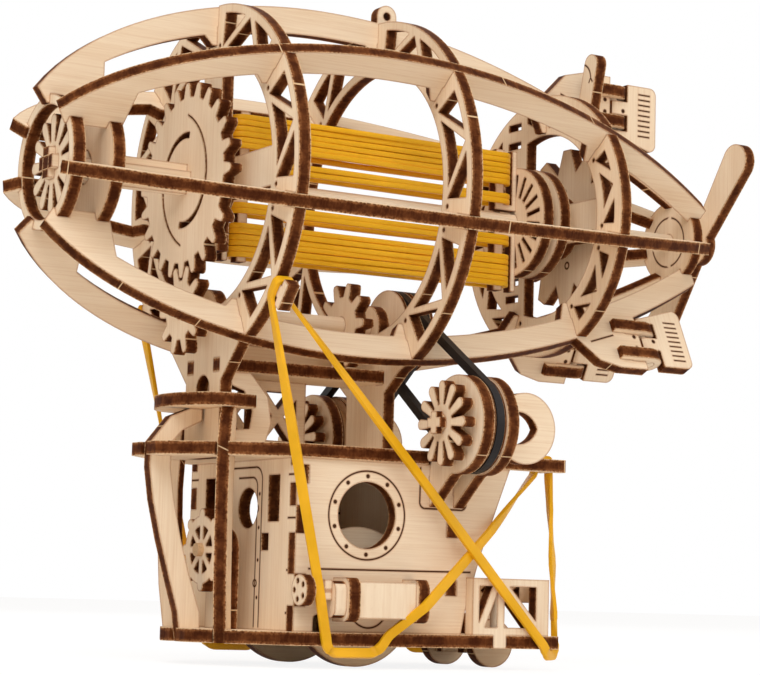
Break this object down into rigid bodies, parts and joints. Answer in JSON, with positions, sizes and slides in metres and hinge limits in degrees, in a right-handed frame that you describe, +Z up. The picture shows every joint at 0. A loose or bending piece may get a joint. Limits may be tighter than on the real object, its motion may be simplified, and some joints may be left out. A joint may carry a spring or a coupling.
{
  "type": "mechanical airship model kit",
  "caption": "Laser-cut plywood airship model with an open ribbed hull, rubber-band motor, geared and belt-driven side engines, steerable tail flaps and a gondola on rolling wheels",
  "frame": {"origin": "centre of the model's bounding box at the level the wheels stand on", "axes": "+X runs from the nose to the propeller, +Z is up, -Y is the side with the tank"},
  "size_m": [0.1912, 0.0944, 0.1581],
  "materials": {
    "birch_ply": "satin",
    "band_rubber": "satin",
    "belt_rubber": "matte"
  },
  "bodies": {
    "frame": {"rib_top": "birch_ply", "rib_upper_near": "birch_ply", "rib_near": "birch_ply", "rib_lower_near": "birch_ply", "rib_lower_far": "birch_ply", "rib_far": "birch_ply", "rib_upper_far": "birch_ply", "nose_ring": "birch_ply", "nose_disc": "birch_ply", "ring_front": "birch_ply", "ring_rear": "birch_ply", "ring_tail": "birch_ply", "tail_bulkhead": "birch_ply", "tail_disc": "birch_ply", "front_hooks": "birch_ply", "motor_bands": "band_rubber", "lever_pin": "birch_ply", "hinge_brackets": "birch_ply", "hinge_pins": "birch_ply", "belt_near": "belt_rubber", "belt_far": "belt_rubber", "engine_plates": "birch_ply", "engine_tails": "birch_ply", "neck_shelf": "birch_ply", "neck_truss": "birch_ply", "collar_plate": "birch_ply", "deck_plate": "birch_ply", "floor_plate": "birch_ply", "side_wall_near": "birch_ply", "side_wall_far": "birch_ply", "front_wall": "birch_ply", "rear_wall": "birch_ply", "bow_ribs": "birch_ply", "helm_post": "birch_ply", "tank": "birch_ply", "aft_truss": "birch_ply", "rigging_near": "band_rubber", "rigging_far": "band_rubber"},
    "rotor": {"nose_fan": "birch_ply", "front_axle": "birch_ply", "drive_gear": "birch_ply", "main_shaft": "birch_ply", "rear_drum": "birch_ply", "rear_hooks": "birch_ply", "star_wheel": "birch_ply", "propeller": "birch_ply"},
    "layshaft_unit": {"layshaft": "birch_ply", "lay_pinion": "birch_ply", "lay_gear": "birch_ply", "lay_pulley": "birch_ply"},
    "engine_near_rotor": {"engine_near": "birch_ply"},
    "engine_far_rotor": {"engine_far": "birch_ply"},
    "lever": {"brake_lever": "birch_ply"},
    "flap_top_body": {"flap_top": "birch_ply"},
    "flap_near_body": {"flap_near": "birch_ply"},
    "flap_far_body": {"flap_far": "birch_ply"},
    "helm": {"helm_wheel": "birch_ply"},
    "valve": {"valve_wheel": "birch_ply"},
    "main_wheels": {"wheel_axle": "birch_ply"},
    "tail_wheels": {"tail_axle": "birch_ply"}
  },
  "joints": [
    {"name": "rotor_spin", "type": "hinge", "parent": "frame", "child": "rotor", "pos_m": [-0.05145, 0, 0.1094], "axis": [1, 0, 0], "continuous": true, "deforming": ["motor_bands"]},
    {"name": "layshaft_spin", "type": "hinge", "parent": "frame", "child": "layshaft_unit", "pos_m": [-0.05145, 0, 0.07939], "axis": [1, 0, 0], "continuous": true},
    {"name": "engine_near_spin", "type": "hinge", "parent": "frame", "child": "engine_near_rotor", "pos_m": [-0.00585, -0.036, 0.0549], "axis": [1, 0, 0], "continuous": true},
    {"name": "engine_far_spin", "type": "hinge", "parent": "frame", "child": "engine_far_rotor", "pos_m": [-0.00225, 0.036, 0.0549], "axis": [1, 0, 0], "continuous": true},
    {"name": "lever_swing", "type": "hinge", "parent": "frame", "child": "lever", "pos_m": [0.04955, -0.00607, 0.13571], "axis": [1, 0, 0], "range_deg": [-10, 10]},
    {"name": "flap_top_swing", "type": "hinge", "parent": "frame", "child": "flap_top_body", "pos_m": [0.06385, 0, 0.1424], "axis": [0, 0, 1], "range_deg": [-30, 30]},
    {"name": "flap_near_swing", "type": "hinge", "parent": "frame", "child": "flap_near_body", "pos_m": [0.06385, -0.01432, 0.07967], "axis": [0, -0.4339, -0.901], "range_deg": [-30, 30]},
    {"name": "flap_far_swing", "type": "hinge", "parent": "frame", "child": "flap_far_body", "pos_m": [0.06385, 0.01432, 0.07967], "axis": [0, 0.4339, -0.901], "range_deg": [-30, 30]},
    {"name": "helm_spin", "type": "hinge", "parent": "frame", "child": "helm", "pos_m": [-0.05045, 0, 0.0254], "axis": [1, 0, 0], "continuous": true},
    {"name": "valve_spin", "type": "hinge", "parent": "frame", "child": "valve", "pos_m": [-0.04125, -0.0293, 0.0169], "axis": [1, 0, 0], "continuous": true},
    {"name": "main_wheels_roll", "type": "hinge", "parent": "frame", "child": "main_wheels", "pos_m": [-0.01895, 0, 0.0158], "axis": [0, 1, 0], "continuous": true},
    {"name": "tail_wheels_roll", "type": "hinge", "parent": "frame", "child": "tail_wheels", "pos_m": [0.02205, 0, 0.0057], "axis": [0, 1, 0], "continuous": true}
  ],
  "couplings": [
    {"joint": "layshaft_spin", "follows": "rotor_spin", "ratio": -2.4},
    {"joint": "engine_near_spin", "follows": "rotor_spin", "ratio": -2.064},
    {"joint": "engine_far_spin", "follows": "rotor_spin", "ratio": -2.064}
  ]
}
